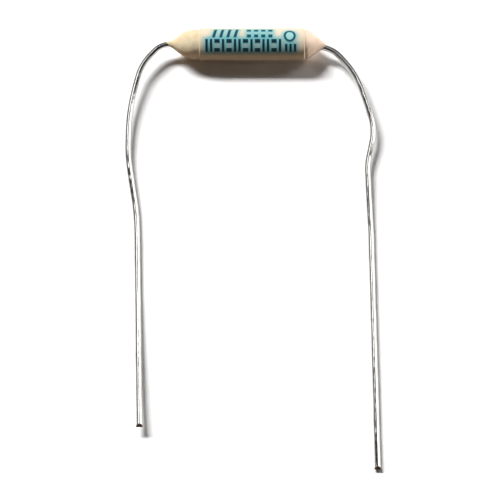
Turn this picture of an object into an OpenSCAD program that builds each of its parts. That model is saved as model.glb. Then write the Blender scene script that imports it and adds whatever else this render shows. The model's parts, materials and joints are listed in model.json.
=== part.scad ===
// Axial thermal link: a fusible alloy rod in flux, inside a ceramic tube with two wire leads.
// It lies as it comes to rest. X runs along the tube, the leads run towards -Y and the table is Z = 0.

/* [Ceramic tube] */
// Length of the tube
tube_l = 9.2; // [8:0.1:12]
// Outside diameter of the tube
tube_d = 2.8; // [2.4:0.1:3.4]
// Bore of the tube
bore_d = 1.6; // [1.3:0.1:2]
// Rounding of the rims at both ends
rim_r = 0.1; // [0.04:0.02:0.16]

/* [Leads] */
// Diameter of the tinned copper wire
wire_d = 0.53; // [0.4:0.01:0.7]
// Length of the left lead from the tube's end, along the wire
left_lead_l = 38.3; // [30:0.1:60]
// Length of the right lead from the tube's end, along the wire
right_lead_l = 40.7; // [30:0.1:60]
// How far the left lead's tip stands above the table
left_tip_lift = 0.6; // [0.1:0.1:1.2]
// Slope of the two faces that the side cutters leave at a tip
snip_angle = 45; // [30:1:60]
// Width of the edge left between those two faces
snip_land = 0.1; // [0.04:0.02:0.16]

/* [Fusible element] */
// Diameter of the alloy rod
element_d = 0.95; // [0.8:0.05:1.15]
// Length of the alloy rod
element_l = 4.2; // [3:0.1:5]
// Depth to which a lead's inner end is welded into the rod
weld_depth = 0.35; // [0.2:0.05:0.6]

/* [Flux] */
// Air space between the flux and each end seal
flux_gap = 0.3; // [0.1:0.1:0.8]

/* [End seals] */
// How deep the resin reaches into the bore
plug_depth = 1.2; // [0.6:0.1:1.5]
// Step from the edge of the tube's flat end in to the resin
seal_step = 0.02; // [0.01:0.01:0.2]
// Thickness of the left seal's skirt along the wire
skirt_t = 0.08; // [0.05:0.01:0.14]

/* [Left seal] */
// Length of the straight shoulder
left_shoulder_l = 0.44; // [0.2:0.02:0.8]
// Rounding of the shoulder
left_round_r = 2; // [0.5:0.1:2.6]
// Half angle of the cone
left_cone_angle = 39; // [34:1:50]
// Radius of the hollow where the cone runs out along the wire
left_hollow_r = 0.2; // [0.1:0.05:0.5]
// Length of the skirt
left_skirt_l = 0.25; // [0.1:0.05:0.6]

/* [Right seal] */
// Length of the straight shoulder
right_shoulder_l = 0.1; // [0.02:0.02:0.3]
// Rounding of the shoulder
right_round_r = 0.5; // [0.1:0.05:0.8]
// Half angle of the cone
right_cone_angle = 37; // [32:1:44]
// Radius of the hollow where the cone runs out to the nose
right_hollow_r = 0.2; // [0.1:0.05:0.4]
// Radius of the nose that stands over the wire, which leaves low here
right_nose_r = 0.16; // [0.1:0.02:0.3]
// Length of the nose
right_nose_l = 0.05; // [0.02:0.01:0.3]

/* [Hidden] */
$fn = 64;
tube_r = tube_d / 2;
bore_r = bore_d / 2;
wire_r = wire_d / 2;
tube_end = tube_l / 2;
wall = tube_r - bore_r;
// Height of the tube's axis when it lies on the table
axis_h = tube_r;
// Where a lead's inner end sits in the alloy rod
lead_start = element_l / 2 - weld_depth;
// Wire stretched round a bend is this much thinner, and each bend runs this far into its straights
bend_thin = 0.004;
bend_overlap = 0.05;
// Half the length of the flux
flux_end = tube_end - plug_depth - flux_gap;

// Corners of a lead's route: distance out from the tube's end, distance in front of the tube's axis,
// height as a share of the axis height (0 lies on the table) and bend radius
left_corners = [
    [3.35, 0, 1, 1.8],
    [5.02, 1.75, 0.90, 4.6],
    [6.58, 7.60, 0.34, 20],
    [5.30, 15.30, 0, 20],
    [5.10, 22.50, 0, 30]
];
right_corners = [
    [0.90, 0.16, 0.80, 2],
    [2.25, 0.20, 0.80, 2.2],
    [4.42, 2.45, 0.76, 8],
    [6.04, 7.75, 0.58, 5],
    [5.32, 10.85, 0.36, 6],
    [5.57, 17.20, 0, 30]
];
// Points that the tails of the leads aim at
left_aim = [4.78, 34.2];
right_aim = [5.81, 37.7];

function unit(v) = v / norm(v);
function sum(list, i = 0) = i < len(list) ? list[i] + sum(list, i + 1) : 0;
function height(share) = wire_r + share * (axis_h - wire_r);

// A lead's route as points: inner end, corners, aim of the tail
function route(side, corners, aim, lift) = concat(
    [[side * lead_start, 0, axis_h]],
    [for (c = corners) [side * (tube_end + c[0]), -c[1], height(c[2])]],
    [[side * (tube_end + aim[0]), -aim[1], wire_r + lift]]
);
function heading(points, i) = unit(points[i + 1] - points[i]);
function bend(points, i) = acos(heading(points, i - 1) * heading(points, i));
// Length of straight that a bend takes on each side of its corner; none at the two ends
function setback(points, radii, i) =
    i == 0 || i == len(points) - 1 ? 0 : radii[i] * tan(bend(points, i) / 2);
function straight(points, radii, i) =
    norm(points[i + 1] - points[i]) - setback(points, radii, i) - setback(points, radii, i + 1);
function arc_length(points, radii, i) = radii[i] * bend(points, i) * PI / 180;
// Wire used up to the end of the last bend
function used(points, radii) =
    sum([for (i = [0:len(points) - 3]) straight(points, radii, i) + arc_length(points, radii, i + 1)]);

// Moves children from the Z axis to the tube's axis, with Z turned to the given side
module on_axis(side = 1) {
    translate([0, 0, axis_h])
        rotate([0, side * 90, 0])
            children();
}

// Sets children that stand on Z at a point, with Z turned along a direction and X kept level
module run(from, dir) {
    across = unit(cross([0, 0, 1], dir));
    lift = cross(dir, across);
    multmatrix([
        [across.x, lift.x, dir.x, from.x],
        [across.y, lift.y, dir.y, from.y],
        [across.z, lift.z, dir.z, from.z],
        [0, 0, 0, 1]
    ])
        children();
}

// Bend of the wire at corner i of its route
module elbow(points, radii, i) {
    before = heading(points, i - 1);
    after = heading(points, i);
    angle = bend(points, i);
    centre = points[i] + unit(after - before) * radii[i] / cos(angle / 2);
    spoke = unit(points[i] - before * setback(points, radii, i) - centre);
    axle = cross(spoke, before);
    overlap = bend_overlap / radii[i] * 180 / PI;
    multmatrix([
        [spoke.x, before.x, axle.x, centre.x],
        [spoke.y, before.y, axle.y, centre.y],
        [spoke.z, before.z, axle.z, centre.z],
        [0, 0, 0, 1]
    ])
        rotate([0, 0, -overlap])
            rotate_extrude(angle = angle + 2 * overlap)
                translate([radii[i], 0])
                    circle(wire_r - bend_thin);
}

// Tip left by side cutters: two sloping faces that meet in a narrow level edge
module snipped_tip(length) {
    slope_l = (wire_r - snip_land / 2) / tan(snip_angle);
    intersection() {
        cylinder(h = length, r = wire_r);
        rotate([90, 0, 90])
            linear_extrude(height = 2 * wire_d, center = true)
                polygon([
                    [-wire_r, 0],
                    [wire_r, 0],
                    [wire_r, length - slope_l],
                    [snip_land / 2, length],
                    [-snip_land / 2, length],
                    [-wire_r, length - slope_l]
                ]);
    }
}

// Bent wire along a route, cut to a length measured from the tube's end
module bent_lead(side, corners, aim, lift, lead_l) {
    points = route(side, corners, aim, lift);
    radii = concat([0], [for (c = corners) c[3]], [0]);
    last = len(points) - 2;
    tail_l = lead_l + tube_end - lead_start - used(points, radii);
    for (i = [0:last - 1])
        run(points[i] + heading(points, i) * setback(points, radii, i), heading(points, i))
            cylinder(h = straight(points, radii, i), r = wire_r);
    for (i = [1:last])
        elbow(points, radii, i);
    run(points[last] + heading(points, last) * setback(points, radii, last), heading(points, last))
        snipped_tip(tail_l);
}

// Half section of a seal outside the tube, with Y along the wire and X outwards.
// The shoulder's round runs into the cone, and a hollow runs from the cone onto the skirt or nose.
module seal_section(shoulder_l, round_r, cone_angle, hollow_r, skirt_r, skirt_l) {
    base_r = tube_r - rim_r - seal_step;
    normal = [cos(cone_angle), sin(cone_angle)];
    round_c = [base_r - round_r, shoulder_l];
    round_end = round_c + round_r * normal;
    hollow_start_x = skirt_r + hollow_r - hollow_r * normal.x;
    hollow_start = [hollow_start_x, round_end.y + (round_end.x - hollow_start_x) / tan(cone_angle)];
    hollow_c = hollow_start + hollow_r * normal;
    intersection() {
        union() {
            translate(round_c)
                circle(round_r);
            difference() {
                polygon([
                    [0, 0],
                    [base_r, 0],
                    [base_r, shoulder_l],
                    round_end,
                    hollow_start,
                    hollow_c,
                    [skirt_r, hollow_c.y],
                    [skirt_r, hollow_c.y + skirt_l],
                    [0, hollow_c.y + skirt_l]
                ]);
                translate(hollow_c)
                    circle(hollow_r);
            }
        }
        square([tube_d, tube_l]);
    }
}

// Resin poured into the tube's end: it takes its inner shape from the tube and the lead
module poured_seal(side, shoulder_l, round_r, cone_angle, hollow_r, skirt_r, skirt_l) {
    difference() {
        on_axis(side)
            union() {
                translate([0, 0, tube_end - plug_depth])
                    cylinder(h = plug_depth + rim_r, r = bore_r + wall / 2);
                translate([0, 0, tube_end])
                    rotate_extrude()
                        seal_section(shoulder_l, round_r, cone_angle, hollow_r, skirt_r, skirt_l);
            }
        tube_shape();
        if (side < 0)
            left_wire();
        else
            right_wire();
    }
}

module tube_shape() {
    on_axis()
        rotate_extrude()
            translate([bore_r, -tube_end])
                rounded_section(wall, tube_l);
}

// Rectangle with its corners rounded to the rim's rounding
module rounded_section(w, h) {
    translate([rim_r, 0])
        square([w - 2 * rim_r, h]);
    translate([0, rim_r])
        square([w, h - 2 * rim_r]);
    for (x = [rim_r, w - rim_r])
        for (y = [rim_r, h - rim_r])
            translate([x, y])
                circle(rim_r);
}

module left_wire() {
    bent_lead(-1, left_corners, left_aim, left_tip_lift, left_lead_l);
}

module right_wire() {
    bent_lead(1, right_corners, right_aim, 0, right_lead_l);
}

// Alloy rod with rounded ends, wetted onto the lead ends
module rod_shape() {
    end_r = (element_d - wire_d) / 2;
    difference() {
        on_axis()
            rotate_extrude()
                translate([0, -element_l / 2])
                    rod_section(end_r);
        left_wire();
        right_wire();
    }
}

module rod_section(end_r) {
    rod_r = element_d / 2;
    square([rod_r - end_r, element_l]);
    translate([0, end_r])
        square([rod_r, element_l - 2 * end_r]);
    for (y = [end_r, element_l - end_r])
        translate([rod_r - end_r, y])
            circle(end_r);
}

module ceramic_tube() {
    color([0.93, 0.89, 0.80])
        tube_shape();
}

module left_lead() {
    color([0.78, 0.79, 0.80])
        left_wire();
}

module right_lead() {
    color([0.78, 0.79, 0.80])
        right_wire();
}

module left_end_seal() {
    color([0.80, 0.68, 0.50])
        poured_seal(-1, left_shoulder_l, left_round_r, left_cone_angle, left_hollow_r,
            wire_r + skirt_t, left_skirt_l);
}

module right_end_seal() {
    color([0.80, 0.68, 0.50])
        poured_seal(1, right_shoulder_l, right_round_r, right_cone_angle, right_hollow_r,
            right_nose_r, right_nose_l);
}

module fusible_alloy() {
    color([0.62, 0.64, 0.67])
        rod_shape();
}

// Flux that fills the bore round the rod and stops short of the seals
module flux_fill() {
    color([0.72, 0.45, 0.15])
        difference() {
            on_axis()
                cylinder(h = 2 * flux_end, r = bore_r + wall / 2, center = true);
            tube_shape();
            rod_shape();
            left_wire();
            right_wire();
        }
}

ceramic_tube();
left_lead();
right_lead();
left_end_seal();
right_end_seal();
fusible_alloy();
flux_fill();
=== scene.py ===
import json
import math
import bmesh
import bpy
from mathutils import Matrix, Vector, noise


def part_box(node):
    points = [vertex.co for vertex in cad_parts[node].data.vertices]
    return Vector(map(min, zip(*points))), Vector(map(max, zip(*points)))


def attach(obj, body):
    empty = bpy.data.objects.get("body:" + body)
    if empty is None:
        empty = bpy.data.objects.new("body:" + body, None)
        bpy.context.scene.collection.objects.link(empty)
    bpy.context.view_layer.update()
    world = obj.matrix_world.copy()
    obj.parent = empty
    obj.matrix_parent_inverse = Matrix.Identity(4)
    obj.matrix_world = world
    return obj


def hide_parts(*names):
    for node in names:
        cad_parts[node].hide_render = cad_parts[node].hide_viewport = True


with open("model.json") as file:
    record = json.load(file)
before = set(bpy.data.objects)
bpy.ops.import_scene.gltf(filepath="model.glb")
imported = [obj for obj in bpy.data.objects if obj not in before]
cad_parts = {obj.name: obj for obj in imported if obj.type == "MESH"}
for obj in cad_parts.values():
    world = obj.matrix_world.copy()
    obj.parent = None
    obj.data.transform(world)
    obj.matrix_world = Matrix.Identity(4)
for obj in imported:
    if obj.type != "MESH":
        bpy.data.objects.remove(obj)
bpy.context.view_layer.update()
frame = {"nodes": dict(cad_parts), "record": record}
mm = 0.001

# Sizes that come from the frame
tubeLow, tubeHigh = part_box("ceramic_tube")
tubeEnd = tubeHigh.x
tubeRadius = (tubeHigh.z - tubeLow.z) / 2
axisHeight = (tubeHigh.z + tubeLow.z) / 2
leadInner = -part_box("left_lead")[1].x  # where the wire is welded to the alloy
leadPins = {mount["name"]: mount for mount in frame["record"]["mounts"]}
wireRadius = leadPins["right_lead_pin"]["dims"]["r_mm"] * mm
print("frame: tube", round(tubeEnd * 2 / mm, 2), "x", round(tubeRadius * 2 / mm, 2), "mm")

noiseSpan = (0.3, 0.7)  # where most values of a noise lie
seedSkew = (1.0, 1.7, 0.6)  # keeps the grain of one seed apart from another's
squareCorners = ((-1, -1), (1, -1), (1, 1), (-1, 1))


def smoothStep(low, high, value):
    share = min(max((value - low) / (high - low), 0.0), 1.0)
    return share * share * (3 - 2 * share)


def smoothMax(first, second, blend):
    overlap = max(blend - abs(first - second), 0.0) / blend
    return max(first, second) + overlap * overlap * blend / 4


def grain(point, size, seed):
    shift = Vector([seed * skew for skew in seedSkew])
    return noise.noise(Vector(point) / size + shift)


# Mesh helpers
def meshPiece(name, verts, faces, uvs=None):
    mesh = bpy.data.meshes.new(name)
    mesh.from_pydata([tuple(v) for v in verts], [], faces)
    if uvs:
        layer = mesh.uv_layers.new(name="UVMap")
        for loop in mesh.loops:
            layer.data[loop.index].uv = uvs[loop.vertex_index]
    shell = bmesh.new()
    shell.from_mesh(mesh)
    bmesh.ops.recalc_face_normals(shell, faces=shell.faces)
    shell.to_mesh(mesh)
    shell.free()
    mesh.polygons.foreach_set("use_smooth", [True] * len(mesh.polygons))
    piece = bpy.data.objects.new(name, mesh)
    bpy.context.scene.collection.objects.link(piece)
    return piece


def bridgeRings(ringCount, sides, closed=False):
    faces = []
    for ring in range(ringCount if closed else ringCount - 1):
        below = ring * sides
        above = (ring + 1) % ringCount * sides
        for side in range(sides):
            after = (side + 1) % sides
            faces.append((below + side, below + after, above + after, above + side))
    return faces


def addAttribute(piece, name, values):
    piece.data.attributes.new(name, "FLOAT", "POINT").data.foreach_set("value", values)


def finishPiece(piece, material, nodeName=None):
    piece.data.materials.append(material)
    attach(piece, "root")
    if nodeName:
        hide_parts(nodeName)
    return piece


# Material helpers
def newMaterial(name):
    material = bpy.data.materials.new(name)
    material.use_nodes = True
    tree = material.node_tree
    shader = tree.nodes["Principled BSDF"]
    return material, tree, shader


def bareMaterial(name):
    material, tree, shader = newMaterial(name)
    tree.nodes.remove(shader)
    return material, tree, tree.nodes["Material Output"].inputs["Surface"]


def addNode(tree, kind, **settings):
    node = tree.nodes.new(kind)
    for key, value in settings.items():
        if key in node.inputs:
            node.inputs[key].default_value = value
        else:
            setattr(node, key, value)
    return node


def noiseNode(tree, vector, scale, detail, roughness=0.5):
    node = addNode(tree, "ShaderNodeTexNoise", Scale=scale, Detail=detail, Roughness=roughness)
    tree.links.new(vector, node.inputs["Vector"])
    return node.outputs["Fac"]


def rampNode(tree, factor, stops):
    node = tree.nodes.new("ShaderNodeValToRGB")
    ramp = node.color_ramp
    while len(ramp.elements) < len(stops):
        ramp.elements.new(0.5)
    for element, (place, colour) in zip(ramp.elements, stops):
        element.position = place
        element.color = (*colour, 1.0)
    tree.links.new(factor, node.inputs["Fac"])
    return node.outputs["Color"]


def rangeNode(tree, value, source, target):
    node = tree.nodes.new("ShaderNodeMapRange")
    for key, number in zip(("From Min", "From Max", "To Min", "To Max"), (*source, *target)):
        node.inputs[key].default_value = number
    tree.links.new(value, node.inputs["Value"])
    return node.outputs["Result"]


def mixColour(tree, factor, first, second):
    node = addNode(tree, "ShaderNodeMix", data_type="RGBA")
    tree.links.new(factor, node.inputs["Factor"])
    for socket, colour in ((node.inputs[6], first), (node.inputs[7], second)):  # its colour sockets
        if isinstance(colour, tuple):
            socket.default_value = (*colour, 1.0)
        else:
            tree.links.new(colour, socket)
    return node.outputs[2]


def mixShader(tree, factor, first, second):
    node = tree.nodes.new("ShaderNodeMixShader")
    for socket, source in zip(node.inputs, (factor, first, second)):
        tree.links.new(source, socket)
    return node.outputs["Shader"]


def bumpNode(tree, height, strength, distance):
    node = addNode(tree, "ShaderNodeBump", Strength=strength, Distance=distance)
    tree.links.new(height, node.inputs["Height"])
    return node.outputs["Normal"]


def attributeNode(tree, name):
    return addNode(tree, "ShaderNodeAttribute", attribute_name=name).outputs["Fac"]


def objectPlace(tree):
    return tree.nodes.new("ShaderNodeTexCoord").outputs["Object"]


def stretchedUv(tree, around, along):
    mapping = addNode(tree, "ShaderNodeMapping", Scale=(around, along, 1.0))
    tree.links.new(tree.nodes.new("ShaderNodeTexCoord").outputs["UV"], mapping.inputs["Vector"])
    return mapping.outputs["Vector"]


def feedShader(tree, shader, colour, roughness, normal=None):
    tree.links.new(colour, shader.inputs["Base Color"])
    tree.links.new(roughness, shader.inputs["Roughness"])
    if normal is not None:
        tree.links.new(normal, shader.inputs["Normal"])


def setGlow(shader, specular, weight, radius, depth):
    shader.inputs["Specular IOR Level"].default_value = specular
    shader.inputs["Subsurface Weight"].default_value = weight
    shader.inputs["Subsurface Radius"].default_value = radius
    shader.inputs["Subsurface Scale"].default_value = depth


# Finishes: a noise is given by scale, detail and roughness, and a bump by strength and depth
tinnedWire = {
    "stretch": (4.0, 0.22),  # of the streaks, round the wire and along it
    "streaks": (1.0, 3.0, 0.55),
    "blotches": (700.0, 3.0),
    "pits": (6000.0, 2.0),
    "bright": [(0.25, (0.70, 0.69, 0.67)), (0.6, (0.88, 0.87, 0.85))],
    "dulled": [(0.35, (0.64, 0.62, 0.58)), (0.6, (0.90, 0.89, 0.87))],
    "roughness": (0.05, 0.16),
    "bump": (0.2, 0.03 * mm),
}


def tinnedWireFinish():
    material, tree, shader = newMaterial("tinnedWire")
    streaks = noiseNode(tree, stretchedUv(tree, *tinnedWire["stretch"]), *tinnedWire["streaks"])
    blotches = noiseNode(tree, objectPlace(tree), *tinnedWire["blotches"])
    pits = noiseNode(tree, objectPlace(tree), *tinnedWire["pits"])
    bright = rampNode(tree, streaks, tinnedWire["bright"])
    dulled = rampNode(tree, blotches, tinnedWire["dulled"])
    colour = mixColour(tree, pits, bright, dulled)
    roughness = rangeNode(tree, streaks, noiseSpan, tinnedWire["roughness"])
    feedShader(tree, shader, colour, roughness, bumpNode(tree, streaks, *tinnedWire["bump"]))
    shader.inputs["Metallic"].default_value = 1.0
    return material


cutCopper = {
    "shear": (9000.0, 3.0, 0.6),
    "colours": [(0.3, (0.09, 0.045, 0.035)), (0.7, (0.24, 0.12, 0.08))],
    "roughness": (0.35, 0.55),
    "bump": (0.3, 0.02 * mm),
}


def cutCopperFinish():
    material, tree, shader = newMaterial("cutCopper")
    shear = noiseNode(tree, objectPlace(tree), *cutCopper["shear"])
    colour = rampNode(tree, shear, cutCopper["colours"])
    roughness = rangeNode(tree, shear, noiseSpan, cutCopper["roughness"])
    feedShader(tree, shader, colour, roughness, bumpNode(tree, shear, *cutCopper["bump"]))
    shader.inputs["Metallic"].default_value = 1.0
    return material


firedCeramic = {
    "cloud": (900.0, 3.0),
    "speck": (9000.0, 2.0, 0.7),
    "cream": [(0.3, (0.85, 0.72, 0.53)), (0.7, (0.89, 0.78, 0.60))],
    "speckColour": (0.72, 0.58, 0.40),
    "speckSpan": (0.62, 0.75),  # the noise that shows as specks
    "speckShare": (0.0, 0.5),
    "soakColour": (0.13, 0.52, 0.58),
    "roughness": (0.36, 0.52),
    "bump": (0.25, 0.01 * mm),
    "specular": 0.3,
    "glow": 0.1,
    "glowRadius": (1.0, 0.6, 0.35),
    "glowDepth": 0.3 * mm,
}


def firedCeramicFinish():
    material, tree, shader = newMaterial("firedCeramic")
    place = objectPlace(tree)
    cloud = noiseNode(tree, place, *firedCeramic["cloud"])
    speck = noiseNode(tree, place, *firedCeramic["speck"])
    cream = rampNode(tree, cloud, firedCeramic["cream"])
    speckShare = rangeNode(tree, speck, firedCeramic["speckSpan"], firedCeramic["speckShare"])
    specked = mixColour(tree, speckShare, cream, firedCeramic["speckColour"])
    soaked = mixColour(tree, attributeNode(tree, "inkSoak"), specked, firedCeramic["soakColour"])
    roughness = rangeNode(tree, cloud, noiseSpan, firedCeramic["roughness"])
    feedShader(tree, shader, soaked, roughness, bumpNode(tree, speck, *firedCeramic["bump"]))
    setGlow(shader, firedCeramic["specular"], firedCeramic["glow"],
            firedCeramic["glowRadius"], firedCeramic["glowDepth"])
    return material


sealResin = {
    "cloud": (1500.0, 4.0),
    "fine": (11000.0, 2.0),
    "stops": (0.3, 0.68),  # where the deep and the pale colour stand in the cloud
    "roughness": (0.30, 0.48),
    "bump": (0.3, 0.04 * mm),
    "specular": 0.35,
    "glowRadius": (1.0, 0.8, 0.65),
}


def sealResinFinish(name, seal):
    material, tree, shader = newMaterial(name)
    place = objectPlace(tree)
    cloud = noiseNode(tree, place, *sealResin["cloud"])
    fine = noiseNode(tree, place, *sealResin["fine"])
    colour = rampNode(tree, cloud, list(zip(sealResin["stops"], (seal["deep"], seal["pale"]))))
    roughness = rangeNode(tree, fine, noiseSpan, sealResin["roughness"])
    feedShader(tree, shader, colour, roughness, bumpNode(tree, cloud, *sealResin["bump"]))
    setGlow(shader, sealResin["specular"], seal["glow"], sealResin["glowRadius"], seal["glowDepth"])
    return material


markingInk = {
    "mottle": (7000.0, 3.0, 0.6),
    "solid": [(0.3, (0.001, 0.012, 0.024)), (0.7, (0.004, 0.035, 0.055))],
    "bleed": [(0.0, (0.82, 0.78, 0.62)), (0.12, (0.50, 0.76, 0.72)),
              (0.25, (0.24, 0.66, 0.70)), (0.8, (0.01, 0.13, 0.18))],
    "covered": (0.7, 1.0),  # depth of ink over which the solid colour takes over
    "roughness": (0.42, 0.6),
}


def markingInkFinish():
    material, tree, shader = newMaterial("markingInk")
    depth = attributeNode(tree, "inkDepth")
    mottle = noiseNode(tree, objectPlace(tree), *markingInk["mottle"])
    solid = rampNode(tree, mottle, markingInk["solid"])
    bleed = rampNode(tree, depth, markingInk["bleed"])
    covered = rangeNode(tree, depth, markingInk["covered"], (0.0, 1.0))
    roughness = rangeNode(tree, mottle, noiseSpan, markingInk["roughness"])
    feedShader(tree, shader, mixColour(tree, covered, bleed, solid), roughness)
    return material


fusibleAlloy = {
    "cloud": (2500.0, 3.0),
    "colours": [(0.3, (0.42, 0.42, 0.43)), (0.7, (0.60, 0.60, 0.60))],
    "roughness": (0.3, 0.5),
    "metallic": 1.0,
}
fluxResin = {
    "cloud": (1800.0, 3.0),
    "colours": [(0.3, (0.55, 0.33, 0.10)), (0.7, (0.72, 0.50, 0.20))],
    "roughness": (0.12, 0.3),
    "metallic": 0.0,
}


def innerFinish(name, settings):
    material, tree, shader = newMaterial(name)
    cloud = noiseNode(tree, objectPlace(tree), *settings["cloud"])
    colour = rampNode(tree, cloud, settings["colours"])
    feedShader(tree, shader, colour, rangeNode(tree, cloud, noiseSpan, settings["roughness"]))
    shader.inputs["Metallic"].default_value = settings["metallic"]
    return material


# Marking: two rows of plain strokes and blocks and a ring, with places along the tube in mm
marking = {
    "upperRow": (math.radians(92), math.radians(131)),  # low edge and high edge round the tube
    "lowerRow": (math.radians(40), math.radians(86)),
    "ringRow": (math.radians(77), math.radians(122)),
    "strokes": {"start": -3.48, "pitch": 0.62, "width": 0.25, "slant": 0.22, "count": 4},
    "dashes": {"start": -0.45, "pitch": 0.62, "width": 0.36, "count": 4},
    "dashLevels": [(0.68, 1.0), (0.0, 0.32)],  # shares of the row's height
    "bars": {"start": -4.05, "gap": 0.19, "thin": 0.2, "broad": 0.46},
    "barOrder": "thin thin broad thin broad thin thin broad thin broad thin thin broad thin",
    "barLevels": {"thin": [(0.0, 1.0)], "broad": [(0.7, 1.0), (0.0, 0.3)]},
    "tallies": {"start": 2.86, "pitch": 0.38, "width": 0.2, "top": 0.62, "count": 3},
    "ring": (3.27, 0.5, 0.52),  # place along the tube, level in its row and radius in mm
    "edgeParts": 8,
    "ringParts": 40,
    "film": 0.006 * mm,
    "leastFilm": 0.5,  # share of the film under the thinnest ink
    "upperInkPaintedPale": 0.86,  # share of full ink, kept below the lower row's as painted light: the upper row and the ring stand paler where the top of the tube is lit
    "lowerInk": 1.0,
    "rims": [(-0.06, 0.3), (-0.05, 0.3), (-0.02, 0.45), (0.03, 1.0)],  # inset in mm, depth of ink
    "ringRims": [(0.16, 1.0), (0.2, 0.3), (0.26, 0.2)],
    "middles": [0.66, 0.33, 0.08],  # rings inside the last rim
    "soak": 0.62,  # share of ink that the ceramic takes up at the edge of a stroke
    "soakReach": 0.27,  # in mm
}


def upperBlocks():
    strokes = marking["strokes"]
    dashes = marking["dashes"]
    blocks = []
    for place in range(strokes["count"]):
        left = strokes["start"] + strokes["pitch"] * place
        blocks.append((left, left + strokes["width"], 0.0, 1.0, strokes["slant"]))
    for place in range(dashes["count"]):
        left = dashes["start"] + dashes["pitch"] * place
        blocks += [(left, left + dashes["width"], low, high, 0.0) for low, high in marking["dashLevels"]]
    return blocks


def lowerBlocks():
    bars = marking["bars"]
    tallies = marking["tallies"]
    blocks = []
    left = bars["start"]
    for kind in marking["barOrder"].split():
        right = left + bars[kind]
        blocks += [(left, right, low, high, 0.0) for low, high in marking["barLevels"][kind]]
        left = right + bars["gap"]
    for place in range(tallies["count"]):
        left = tallies["start"] + tallies["pitch"] * place
        blocks.append((left, left + tallies["width"], 0.0, tallies["top"], 0.0))
    return blocks


# The upper row gets less ink than the lower one, a painted highlight for the lit top of the tube
printRows = [
    (marking["upperRow"], upperBlocks(), marking["upperInkPaintedPale"]),
    (marking["lowerRow"], lowerBlocks(), marking["lowerInk"]),
]


def rowHeight(row):
    return (row[1] - row[0]) * tubeRadius / mm


def blockGap(block, row, x, angle):
    left, right, low, high, slant = block
    tall = rowHeight(row)
    level = (angle - row[0]) * tubeRadius / mm
    shift = slant * min(max(level / tall, 0.0), 1.0)
    sideGap = max(left + shift - x, x - right - shift, 0.0)
    endGap = max(low * tall - level, level - high * tall, 0.0)
    return math.hypot(sideGap, endGap)


def ringGap(x, angle):
    middle, level, radius = marking["ring"]
    row = marking["ringRow"]
    rise = (angle - row[0]) * tubeRadius / mm - level * rowHeight(row)
    return abs(math.hypot(x - middle, rise) - radius)


def inkSoak(x, angle):
    gaps = []
    for row, blocks, _ in printRows:
        gaps += [blockGap(block, row, x, angle) for block in blocks]
    gaps.append(ringGap(x, angle))
    clean = 1.0
    for gap in gaps:
        clean *= 1 - marking["soak"] * math.exp(-(gap / marking["soakReach"]) ** 2)
    return 1 - clean


# Ceramic tube
ceramicTube = {
    "boreRadius": 0.8 * mm,
    "faceLand": 0.2 * mm,  # flat ring round the bore
    "rimRadius": 0.1 * mm,
    "rimSteps": 8,
    "sides": 160,
    "lengthRings": 128,
    "skinDepth": 0.11 * mm,  # only this much of the profile is uneven
    "waviness": 0.004 * mm,
    "waveSize": 1.1 * mm,
    "waveSeed": 4.0,
    "chipDepth": 0.05 * mm,
    "chipSize": 0.25 * mm,
    "chipSeed": 9.0,
    "chipFrom": 0.3,  # grain above this is chipped off
    "chipStart": 0.12 * mm,  # from the tube's end
    "chipFull": 0.03 * mm,
    "soakMargin": math.radians(30),  # how far past its rows the ink can soak
    "sharpAngle": math.radians(50),
}


def tubeSkin(x, angle):
    spot = Vector((x, tubeRadius * math.cos(angle), tubeRadius * math.sin(angle)))
    wave = grain(spot, ceramicTube["waveSize"], ceramicTube["waveSeed"])
    return tubeRadius + ceramicTube["waviness"] * wave


def rimChip(x, angle):
    spot = (x, math.cos(angle) * mm, math.sin(angle) * mm)
    chip = grain(spot, ceramicTube["chipSize"], ceramicTube["chipSeed"]) - ceramicTube["chipFrom"]
    nearRim = smoothStep(tubeEnd - ceramicTube["chipStart"], tubeEnd - ceramicTube["chipFull"], abs(x))
    return nearRim * max(chip, 0.0) * ceramicTube["chipDepth"]


def tubeProfile():
    rim = ceramicTube["rimRadius"]
    bore = ceramicTube["boreRadius"]
    steps = ceramicTube["rimSteps"]
    flat = tubeEnd - rim
    end = [(-tubeEnd, bore), (-tubeEnd, bore + ceramicTube["faceLand"])]
    for step in range(steps + 1):
        turn = math.radians(90 * step / steps)
        end.append((-flat - rim * math.cos(turn), tubeRadius - rim + rim * math.sin(turn)))
    count = ceramicTube["lengthRings"]
    barrel = [(-flat + 2 * flat * step / count, tubeRadius) for step in range(1, count)]
    return end + barrel + [(-x, radius) for x, radius in reversed(end)]


def makeTube():
    verts = []
    soaks = []
    profile = tubeProfile()
    sides = ceramicTube["sides"]
    soakLow = marking["lowerRow"][0] - ceramicTube["soakMargin"]
    soakHigh = marking["upperRow"][1] + ceramicTube["soakMargin"]
    for x, radius in profile:
        for side in range(sides):
            angle = 2 * math.pi * side / sides
            outer = radius
            if radius > tubeRadius - ceramicTube["skinDepth"]:
                outer += tubeSkin(x, angle) - tubeRadius - rimChip(x, angle)
            verts.append((x, -outer * math.cos(angle), axisHeight + outer * math.sin(angle)))
            printed = radius == tubeRadius and soakLow < angle < soakHigh
            soaks.append(inkSoak(x / mm, angle) if printed else 0.0)
    tube = meshPiece("ceramicTube", verts, bridgeRings(len(profile), sides, closed=True))
    addAttribute(tube, "inkSoak", soaks)
    tube.data.set_sharp_from_angle(angle=ceramicTube["sharpAngle"])
    return tube


finishPiece(makeTube(), firedCeramicFinish(), "ceramic_tube")
print("tube done")

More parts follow.
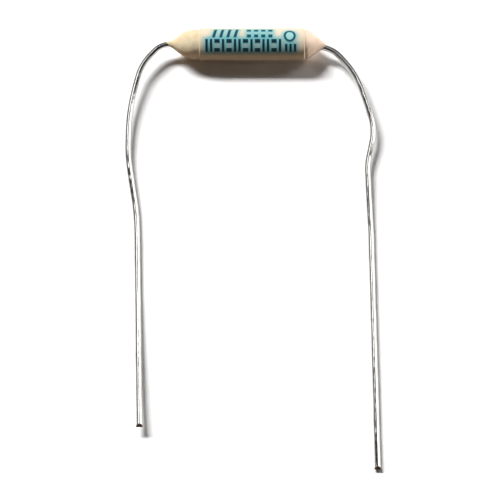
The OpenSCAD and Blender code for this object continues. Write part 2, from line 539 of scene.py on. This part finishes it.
# Leads: the same corners, bend radii and lengths as in the CAD model
# A corner lies so far out from the tube's end and to the front, at a share of the axis height
leftLead = {
    "side": -1,
    "length": 38.3 * mm,
    "corners": [(3.35, 0, 1), (5.02, 1.75, 0.90), (6.58, 7.60, 0.34), (5.30, 15.30, 0), (5.10, 22.50, 0)],
    "bends": [1.8, 4.6, 20, 20, 30],
    "aim": (4.78, 34.2),
    "tipLift": 0.6 * mm,
    "seed": 2.0,
}
rightLead = {
    "side": 1,
    "length": 40.7 * mm,
    "corners": [(0.90, 0.16, 0.80), (2.25, 0.20, 0.80), (4.42, 2.45, 0.76),
                (6.04, 7.75, 0.58), (5.32, 10.85, 0.36), (5.57, 17.20, 0)],
    "bends": [2, 2.2, 8, 5, 6, 30],
    "aim": (5.81, 37.7),
    "tipLift": 0.0,
    "seed": 7.0,
}
leadWire = {
    "sides": 32,
    "step": 0.14 * mm,
    "bendSteps": 3,  # in a bend, at least
    "snipSteps": 16,
    "wander": 0.02 * mm,
    "wanderSize": 2.2 * mm,
    "wanderStart": 2.5 * mm,  # from the tube's end
    "wanderFull": 5 * mm,
    "unevenness": 0.03,
    "unevenSize": 0.7 * mm,
    "dents": 0.014,
    "dentSize": 0.3 * mm,
    "snipLand": 0.1 * mm,
    "snipAngle": math.radians(45),
    "snipFlare": 0.10,
    "flareLength": 0.35 * mm,
    "cutReach": 2 * wireRadius,  # bare copper shows this near the tip
    "cutFacing": 0.5,
    "sharpAngle": math.radians(35),
}


def routeMarks(lead):
    side = lead["side"]
    marks = [Vector((side * leadInner, 0, axisHeight))]
    for out, front, share in lead["corners"]:
        height = wireRadius + share * (axisHeight - wireRadius)
        marks.append(Vector((side * (tubeEnd + out * mm), -front * mm, height)))
    out, front = lead["aim"]
    marks.append(Vector((side * (tubeEnd + out * mm), -front * mm, wireRadius + lead["tipLift"])))
    return marks


def addStraight(stations, end, direction, step):
    start = stations[-1][0]
    count = max(int((end - start).length / step), 1)
    for part in range(1, count + 1):
        stations.append((start.lerp(end, part / count), direction))


def addBend(stations, centre, pivot, turn, step, radius):
    start, direction = stations[-1]
    count = max(int(turn * radius / step), leadWire["bendSteps"])
    for part in range(1, count + 1):
        spin = Matrix.Rotation(turn * part / count, 3, pivot)
        stations.append((centre + spin @ (start - centre), spin @ direction))


def wireStations(lead):
    marks = routeMarks(lead)
    step = leadWire["step"]
    stations = [(marks[0], (marks[1] - marks[0]).normalized())]
    for before, corner, after, bend in zip(marks, marks[1:], marks[2:], lead["bends"]):
        ahead = (corner - before).normalized()
        onward = (after - corner).normalized()
        turn = ahead.angle(onward)
        radius = bend * mm
        setback = radius * math.tan(turn / 2)
        addStraight(stations, corner - ahead * setback, ahead, step)
        centre = corner + (onward - ahead).normalized() * radius / math.cos(turn / 2)
        addBend(stations, centre, ahead.cross(onward).normalized(), turn, step, radius)
    heading = (marks[-1] - marks[-2]).normalized()
    spent = sum((b[0] - a[0]).length for a, b in zip(stations, stations[1:]))
    tail = lead["length"] + tubeEnd - leadInner - spent
    tip = stations[-1][0] + heading * tail
    slope = (wireRadius - leadWire["snipLand"] / 2) / math.tan(leadWire["snipAngle"])
    addStraight(stations, tip - heading * slope, heading, step)
    addStraight(stations, tip, heading, slope / leadWire["snipSteps"])
    return stations


def wireAxes(direction):
    across = Vector((0, 0, 1)).cross(direction).normalized()
    return across, direction.cross(across)


def snipTip(wire, tip, heading):
    lift = wireAxes(heading)[1]
    lean = leadWire["snipAngle"]
    shell = bmesh.new()
    shell.from_mesh(wire.data)
    for way in (1, -1):
        edge = tip + lift * way * leadWire["snipLand"] / 2
        facing = heading * math.sin(lean) + lift * way * math.cos(lean)
        everything = shell.verts[:] + shell.edges[:] + shell.faces[:]
        cut = bmesh.ops.bisect_plane(shell, geom=everything, plane_co=edge, plane_no=facing,
                                     clear_outer=True)
        rim = [item for item in cut["geom_cut"] if isinstance(item, bmesh.types.BMEdge)]
        bmesh.ops.edgeloop_fill(shell, edges=rim)
    shell.normal_update()
    for face in shell.faces:
        nearTip = (face.calc_center_median() - tip).length < leadWire["cutReach"]
        if nearTip and face.normal.dot(heading) > leadWire["cutFacing"]:
            face.material_index = 1  # bare copper
            face.smooth = False
    shell.to_mesh(wire.data)
    shell.free()


def wireSwell(spot, seed):
    swell = leadWire["unevenness"] * grain(spot, leadWire["unevenSize"], seed)
    return 1 + (swell + leadWire["dents"] * grain(spot, leadWire["dentSize"], seed))


def makeLead(name, lead):
    stations = wireStations(lead)
    tip, heading = stations[-1]
    sides = leadWire["sides"]
    wanderStart = tubeEnd + leadWire["wanderStart"]
    wanderFull = tubeEnd + leadWire["wanderFull"]
    verts = []
    uvs = []
    travelled = 0.0
    last = stations[0][0]
    for point, direction in stations:
        travelled += (point - last).length
        last = point
        across, lift = wireAxes(direction)
        free = smoothStep(wanderStart, wanderFull, abs(point.x) - point.y)
        drift = free * grain((travelled, 0, 0), leadWire["wanderSize"], lead["seed"]) * leadWire["wander"]
        nearTip = 1 - smoothStep(0.0, leadWire["flareLength"], (tip - point).length)
        flare = 1 + leadWire["snipFlare"] * nearTip
        for side in range(sides):
            angle = 2 * math.pi * side / sides - math.pi / 2
            ray = across * math.cos(angle) + lift * math.sin(angle)
            reach = wireRadius * wireSwell(point + ray * wireRadius, lead["seed"])
            sideways = reach * math.cos(angle) * flare + drift
            vert = point + across * sideways + lift * reach * math.sin(angle)
            vert.z = max(vert.z, 0.0)
            verts.append(vert)
            uvs.append((side / sides, travelled / mm))
    faces = bridgeRings(len(stations), sides)
    faces.append(tuple(reversed(range(sides))))
    faces.append(tuple(range((len(stations) - 1) * sides, len(stations) * sides)))
    wire = meshPiece(name, verts, faces, uvs)
    snipTip(wire, tip, heading)
    wire.data.set_sharp_from_angle(angle=leadWire["sharpAngle"])
    print(name, "runs", round(travelled / mm, 2), "mm, tip at", [round(c / mm, 2) for c in tip])
    return wire


wireFinish = tinnedWireFinish()
cutFinish = cutCopperFinish()
leads = (("leftLead", leftLead, "left_lead"), ("rightLead", rightLead, "right_lead"))
for pieceName, lead, nodeName in leads:
    wire = finishPiece(makeLead(pieceName, lead), wireFinish, nodeName)
    wire.data.materials.append(cutFinish)

# End seals: a poured cone, and a film of resin drawn out along the wire to a slanting end
leftSeal = {
    "side": -1,
    "wire": wireStations(leftLead),
    "shoulder": 0.44 * mm,
    "round": 2.0 * mm,
    "coneAngle": math.radians(39),
    "noseEnd": 2.7 * mm,
    "filmEnd": 2.66 * mm,
    "filmSlant": 0.26 * mm,
    "lump": 0.045 * mm,
    "seed": 3.0,
    "pale": (0.97, 0.84, 0.58),
    "deep": (0.88, 0.68, 0.43),
    "glow": 0.25,
    "glowDepth": 0.3 * mm,
}
rightSeal = {
    "side": 1,
    "wire": wireStations(rightLead),
    "shoulder": 0.1 * mm,
    "round": 0.5 * mm,
    "coneAngle": math.radians(37),
    "noseEnd": 1.86 * mm,
    "filmEnd": 1.66 * mm,
    "filmSlant": 0.24 * mm,
    "lump": 0.07 * mm,
    "seed": 6.0,
    "pale": (0.96, 0.78, 0.62),
    "deep": (0.92, 0.66, 0.51),
    "glow": 0.6,
    "glowDepth": 0.3 * mm,
}
sealShape = {
    "sides": 96,
    "rings": 80,
    "rooted": 0.02 * mm,  # how far the resin starts inside the tube's end
    "baseRadius": tubeRadius - 0.12 * mm,
    "ease": 0.9 * mm,  # over which its middle moves from the tube's axis to the wire
    "film": 0.07 * mm,
    "filmFade": 0.5 * mm,
    "filmTuck": 0.1 * mm,  # past its end the film sinks into the wire
    "filmSink": 0.015 * mm,
    "spare": 0.2 * mm,  # length kept past the film's end
    "hollow": 0.22 * mm,  # blend of the cone into the film
    "noseLength": 0.5 * mm,  # over which the cone rounds off to its nose
    "filmSide": math.radians(130),  # the film reaches furthest on top, to the back
    "ragged": 0.05 * mm,
    "raggedSize": 0.8,  # of a turn's radius
    "lumpSize": 0.7 * mm,
    "lumpStart": 0.35 * mm,  # lumps grow over this length from the tube
    "lumpClear": 0.3 * mm,  # and over this height from the wire
    "pimple": 0.010 * mm,
    "pimpleSize": 0.16 * mm,
    "sharpAngle": math.radians(60),
}


def wireMiddle(seal, out):
    plane = tubeEnd + max(out, 0.0)
    points = [station[0] for station in seal["wire"]]
    for start, end in zip(points, points[1:]):
        if abs(end.x) >= plane:
            return start.lerp(end, (plane - abs(start.x)) / (abs(end.x) - abs(start.x)))


def coneRadius(seal, out):
    rise = seal["round"] * math.sin(seal["coneAngle"])
    bent = min(max(out - seal["shoulder"], 0.0), rise)
    radius = sealShape["baseRadius"] - seal["round"] + math.sqrt(seal["round"] ** 2 - bent ** 2)
    radius -= max(out - seal["shoulder"] - rise, 0.0) * math.tan(seal["coneAngle"])
    rounding = 1 + (out - seal["noseEnd"]) / sealShape["noseLength"]
    return radius * math.sqrt(1 - min(max(rounding, 0.0), 1.0) ** 2)


def coneReach(radius, offset, ray):
    towards = offset.dot(ray)
    missed = offset.length_squared - towards ** 2
    if radius <= 0 or missed >= radius ** 2:
        return 0.0
    return math.sqrt(radius ** 2 - missed) - towards


def filmReach(seal, out, angle):
    slant = seal["filmSlant"] * math.cos(angle - sealShape["filmSide"])
    turn = (math.cos(angle), math.sin(angle), 0)
    ragged = sealShape["ragged"] * grain(turn, sealShape["raggedSize"], seal["seed"])
    end = seal["filmEnd"] + slant + ragged
    gone = smoothStep(end - sealShape["filmFade"], end + sealShape["filmTuck"], out)
    return wireRadius + sealShape["film"] * (1 - gone) - sealShape["filmSink"] * gone


def sealSwell(seal, spot, out, reach):
    body = smoothStep(0.0, sealShape["lumpStart"], out)
    body *= smoothStep(wireRadius, wireRadius + sealShape["lumpClear"], reach)
    swell = seal["lump"] * grain(spot, sealShape["lumpSize"], seal["seed"])
    swell += sealShape["pimple"] * grain(spot, sealShape["pimpleSize"], seal["seed"])
    return swell * body


def makeSeal(name, seal):
    verts = []
    sides = sealShape["sides"]
    rings = sealShape["rings"]
    rooted = sealShape["rooted"]
    length = seal["filmEnd"] + seal["filmSlant"] + sealShape["spare"]
    for ring in range(rings + 1):
        out = -rooted + (length + rooted) * ring / rings
        middle = wireMiddle(seal, out)
        offset = (middle - Vector((middle.x, 0, axisHeight))) * smoothStep(0.0, sealShape["ease"], out)
        centre = Vector((seal["side"] * (tubeEnd + out), 0, axisHeight)) + offset
        for side in range(sides):
            angle = 2 * math.pi * side / sides
            ray = Vector((0, -math.cos(angle), math.sin(angle)))
            cone = coneReach(coneRadius(seal, out), offset, ray)
            reach = smoothMax(cone, filmReach(seal, out, angle), sealShape["hollow"])
            spot = centre + ray * reach
            vert = spot + ray * sealSwell(seal, spot, out, reach)
            vert.z = max(vert.z, 0.0)
            verts.append(vert)
    faces = bridgeRings(rings + 1, sides)
    faces.append(tuple(range(sides)))
    faces.append(tuple(range(rings * sides, (rings + 1) * sides)))
    piece = meshPiece(name, verts, faces)
    piece.data.set_sharp_from_angle(angle=sealShape["sharpAngle"])
    return piece


leftResin = sealResinFinish("leftSealResin", leftSeal)
rightResin = sealResinFinish("rightSealResin", rightSeal)
finishPiece(makeSeal("leftEndSeal", leftSeal), leftResin, "left_end_seal")
finishPiece(makeSeal("rightEndSeal", rightSeal), rightResin, "right_end_seal")
print("seals done")


# The ink itself lies on the tube as a thin film
def blockOutline(left, right, low, high, slant):
    corners = [(left, low), (right, low), (right + slant, high), (left + slant, high)]
    parts = marking["edgeParts"]
    outline = []
    for start, end in zip(corners, corners[1:] + corners[:1]):
        wide = end[0] - start[0]
        tall = end[1] - start[1]
        for part in range(parts):
            outline.append((start[0] + wide * part / parts, start[1] + tall * part / parts))
    return outline


def discOutline(centre, level, radius):
    parts = marking["ringParts"]
    turns = [2 * math.pi * part / parts for part in range(parts)]
    return [(centre + radius * math.cos(t), level + radius * math.sin(t)) for t in turns]


def addInkShape(ink, outline, row, rims, strength):
    points = [(x, level * rowHeight(row)) for x, level in outline]
    midX = sum(p[0] for p in points) / len(points)
    midY = sum(p[1] for p in points) / len(points)
    halfX = max(p[0] for p in points) - midX
    halfY = max(p[1] for p in points) - midY
    rings = [(1 - inset / halfX, 1 - inset / halfY, depth) for inset, depth in rims]
    wide, high, depth = rings[-1]
    rings += [(wide * share, high * share, depth) for share in marking["middles"]]
    first = len(ink["verts"])
    sides = len(points)
    for ring, (wide, high, depth) in enumerate(rings):
        film = marking["film"] * (marking["leastFilm"] + depth)
        if ring == 0:
            film = -marking["film"]  # the rim dips into the tube
        for x, y in points:
            along = (midX + (x - midX) * wide) * mm
            angle = row[0] + (midY + (y - midY) * high) * mm / tubeRadius
            radius = tubeSkin(along, angle) + film
            ink["verts"].append((along, -radius * math.cos(angle), axisHeight + radius * math.sin(angle)))
            ink["depths"].append(depth * strength)
    ink["faces"] += [tuple(first + index for index in face) for face in bridgeRings(len(rings), sides)]
    ink["faces"].append(tuple(range(first, first + sides)))
    ink["faces"].append(tuple(range(len(ink["verts"]) - sides, len(ink["verts"]))))


def makeMarking():
    ink = {"verts": [], "faces": [], "depths": []}
    for row, blocks, share in printRows:
        for block in blocks:
            addInkShape(ink, blockOutline(*block), row, marking["rims"], share)
    ring = discOutline(*marking["ring"])
    addInkShape(ink, ring, marking["ringRow"], marking["rims"] + marking["ringRims"], marking["upperInkPaintedPale"])
    piece = meshPiece("printedMarking", ink["verts"], ink["faces"])
    addAttribute(piece, "inkDepth", ink["depths"])
    return piece


finishPiece(makeMarking(), markingInkFinish())
print("marking done")

# Inner pieces keep their CAD shape
innerFinishes = {
    "fusible_alloy": innerFinish("fusibleAlloy", fusibleAlloy),
    "flux_fill": innerFinish("fluxResin", fluxResin),
}
for nodeName, finish in innerFinishes.items():
    inner = frame["nodes"][nodeName]
    inner.data.materials.clear()
    inner.data.materials.append(finish)
print("inner pieces done")

# Studio: a white table, a wide lamp from the back left, two weak ones from the right and a dim sky
studio = {
    "floorHalf": 1.5,
    "floorDrop": 0.01 * mm,
    "floorSeen": (1.28, 1.28, 1.28),  # by the camera
    "floorMirrored": (0.95, 0.95, 0.95),
    "floorBounced": (0.46, 0.34, 0.25),  # light that it throws back on the fuse
    "lampDistance": 1.8,
    "lamps": [
        ("backLamp", (-0.62, 0.76, 1.0), (0.90, 0.28), 37.5, (1, 0, 0)),
        ("rightLamp", (1.2, 0.74, 1.0), (0.70, 0.50), 4.0, (1, 0, 0)),
        ("sideLamp", (1.0, 0.13, 0.018), (0.60, 0.05), 27.0, (0, 1, 0)),
    ],  # name, where from, size, watts and which way its width lies
    "skyLevel": 0.022,
    "skyTint": (1.0, 0.8, 0.65),
    "skySeen": (1.0, 1.0, 1.0),
    "mirrorLevel": 0.3,  # what the bright metal sees of the room
    "cardLevel": 1.7,
    "lineLevel": 0.5,
    "flagLevel": 0.02,
    "reflectors": [
        ("leftCard", "cardLevel", (-0.185, 0.11, 0.30), (0.23, 0.10), (0, 0, 1)),
        ("rightCard", "cardLevel", (0.185, 0.095, 0.30), (0.23, 0.13), (0, 0, 1)),
        ("tailCard", "cardLevel", (0, 0.114, 0.31), (0.13, 0.032), (0, 0, 1)),
        ("overheadFlag", "flagLevel", (0, -0.111, 0.32), (0.13, 0.418), (0, 0, 1)),
        ("browFlag", "flagLevel", (0, -0.0725, 0.325), (0.7, 0.265), (0, 0, 1)),
        ("lineCard", "lineLevel", (-0.095, -0.03, 0.31), (0.13, 0.05), (0, 0, 1)),
        ("backFlag", "flagLevel", (0, 0.5, 0.81), (0.6, 0.98), (0, -1, 0)),
        ("frontFlag", "flagLevel", (0, -0.5, 0.42), (0.8, 0.48), (0, 1, 0)),
        ("leftFlag", "flagLevel", (-0.5, 0.18, 0.35), (0.30, 0.70), (1, 0, 0)),
        ("frontLeftFlag", "flagLevel", (-0.42, -0.42, 0.55), (0.4, 0.7), (1, 1, 0)),
        ("frontRightFlag", "flagLevel", (0.42, -0.42, 0.55), (0.4, 0.7), (-1, 1, 0)),
        ("backLeftFlag", "flagLevel", (-0.42, 0.42, 0.55), (0.4, 0.7), (1, -1, 0)),
        ("backRightFlag", "flagLevel", (0.42, 0.42, 0.55), (0.4, 0.7), (-1, -1, 0)),
        ("rightLowCard", "cardLevel", (0.5, 0.18, 0.24), (0.30, 0.44), (-1, 0, 0)),
    ],  # name, level, middle, size and which way it faces
}


def floorShade(tree, colour):
    return addNode(tree, "ShaderNodeBsdfDiffuse", Color=(*colour, 1.0)).outputs["BSDF"]


def makeFloor():
    half = studio["floorHalf"]
    corners = [(x * half, y * half, -studio["floorDrop"]) for x, y in squareCorners]
    floor = meshPiece("floor", corners, [(0, 1, 2, 3)])
    material, tree, surface = bareMaterial("whiteTable")
    seen = floorShade(tree, studio["floorSeen"])
    mirrored = floorShade(tree, studio["floorMirrored"])
    bounced = floorShade(tree, studio["floorBounced"])
    path = tree.nodes.new("ShaderNodeLightPath")
    unseen = mixShader(tree, path.outputs["Is Diffuse Ray"], mirrored, bounced)
    tree.links.new(mixShader(tree, path.outputs["Is Camera Ray"], unseen, seen), surface)
    floor.data.materials.append(material)


def makeLamp(name, towards, size, power, widthAxis):
    light = bpy.data.lights.new(name, "AREA")
    light.shape = "RECTANGLE"
    light.size, light.size_y = size
    light.energy = power
    back = Vector(towards).normalized()
    across = Vector(widthAxis)
    across = (across - back * back.dot(across)).normalized()
    lamp = bpy.data.objects.new(name, light)
    lamp.location = back * studio["lampDistance"]
    lamp.rotation_euler = Matrix((across, back.cross(across), back)).transposed().to_euler()
    lamp.visible_glossy = False
    bpy.context.scene.collection.objects.link(lamp)


def makeSky():
    world = bpy.data.worlds.new("sky")
    world.use_nodes = True
    tree = world.node_tree
    room = tree.nodes["Background"]
    path = tree.nodes.new("ShaderNodeLightPath")
    tint = mixColour(tree, path.outputs["Is Diffuse Ray"], studio["skySeen"], studio["skyTint"])
    tree.links.new(tint, room.inputs["Color"])
    levels = (studio["skyLevel"], studio["mirrorLevel"])
    dim = rangeNode(tree, path.outputs["Is Glossy Ray"], (0.0, 1.0), levels)
    seen = addNode(tree, "ShaderNodeMix", B=1.0)  # white to the camera
    tree.links.new(path.outputs["Is Camera Ray"], seen.inputs["Factor"])
    tree.links.new(dim, seen.inputs["A"])
    tree.links.new(seen.outputs["Result"], room.inputs["Strength"])
    bpy.context.scene.world = world


def makeReflector(name, level, middle, size, facing):
    turn = Vector(facing).to_track_quat("Z", "Y")
    wide, tall = size
    corners = [turn @ Vector((x * wide / 2, y * tall / 2, 0)) + Vector(middle) for x, y in squareCorners]
    card = meshPiece(name, corners, [(0, 1, 2, 3)])
    material, tree, surface = bareMaterial(name)
    glow = addNode(tree, "ShaderNodeEmission", Strength=level)
    tree.links.new(glow.outputs["Emission"], surface)
    card.data.materials.append(material)
    card.visible_camera = False
    card.visible_diffuse = False
    card.visible_shadow = False


makeFloor()
for lampRow in studio["lamps"]:
    makeLamp(*lampRow)
makeSky()
for name, level, middle, size, facing in studio["reflectors"]:
    makeReflector(name, studio[level], middle, size, facing)

# Camera: high in front of the tube, as in the photograph
cameraView = {
    "aim": Vector((-0.18 * mm, -18.44 * mm, 0.0)),
    "elevation": math.radians(72),
    "distance": 200 * mm,
    "fieldWidth": 42.75 * mm,
    "sensor": 36,
    "nearest": 1 * mm,
}


def makeCamera():
    data = bpy.data.cameras.new("camera")
    data.sensor_width = cameraView["sensor"]
    data.lens = cameraView["sensor"] * cameraView["distance"] / cameraView["fieldWidth"]
    data.clip_start = cameraView["nearest"]
    camera = bpy.data.objects.new("camera", data)
    tilt = cameraView["elevation"]
    away = Vector((0, -math.cos(tilt), math.sin(tilt)))
    camera.location = cameraView["aim"] + away * cameraView["distance"]
    camera.rotation_euler = (math.pi / 2 - tilt, 0, 0)
    bpy.context.scene.collection.objects.link(camera)
    bpy.context.scene.camera = camera


makeCamera()
bpy.context.scene.view_settings.view_transform = "Standard"
print("studio done")
